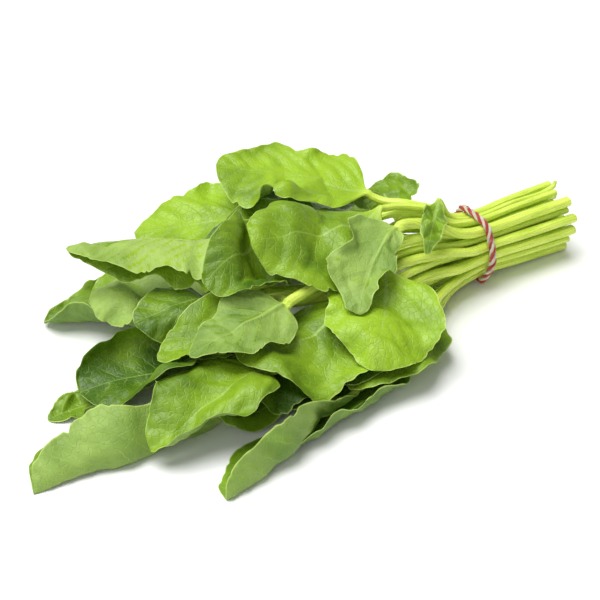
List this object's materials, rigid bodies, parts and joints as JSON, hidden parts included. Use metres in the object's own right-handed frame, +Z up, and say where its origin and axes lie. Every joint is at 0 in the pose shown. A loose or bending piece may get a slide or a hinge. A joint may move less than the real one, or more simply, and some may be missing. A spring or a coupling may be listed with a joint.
{
  "type": "spinach bunch",
  "caption": "Bunch of long-stemmed spinach leaves lying on its side, held near the cut stem ends by one turn of striped twine with a small knot.",
  "frame": {"origin": "on the surface the bunch lies on, under the middle of its bounding box", "axes": "+X along the stems towards their cut ends, -X towards the leaf tips, +Z up from the surface"},
  "size_m": [0.293, 0.1754, 0.0639],
  "materials": {
    "leaf": "satin green leaf, paler and duller underneath, with yellow-green stalks",
    "twine": "matt twisted cotton, red and cream strands"
  },
  "bodies": {
    "root": {"leaf_01": "leaf", "leaf_02": "leaf", "leaf_03": "leaf", "leaf_04": "leaf", "leaf_05": "leaf", "leaf_06": "leaf", "leaf_07": "leaf", "leaf_08": "leaf", "leaf_09": "leaf", "leaf_10": "leaf", "leaf_11": "leaf", "leaf_12": "leaf", "leaf_13": "leaf", "leaf_14": "leaf", "leaf_15": "leaf", "leaf_16": "leaf", "leaf_17": "leaf", "leaf_18": "leaf", "leaf_19": "leaf", "leaf_20": "leaf", "leaf_21": "leaf", "leaf_22": "leaf", "leaf_23": "leaf", "leaf_24": "leaf", "leaf_25": "leaf", "leaf_26": "leaf", "leaf_27": "leaf", "leaf_28": "leaf", "leaf_29": "leaf", "leaf_30": "leaf", "leaf_31": "leaf", "twine_tie": "twine"}
  },
  "joints": []
}
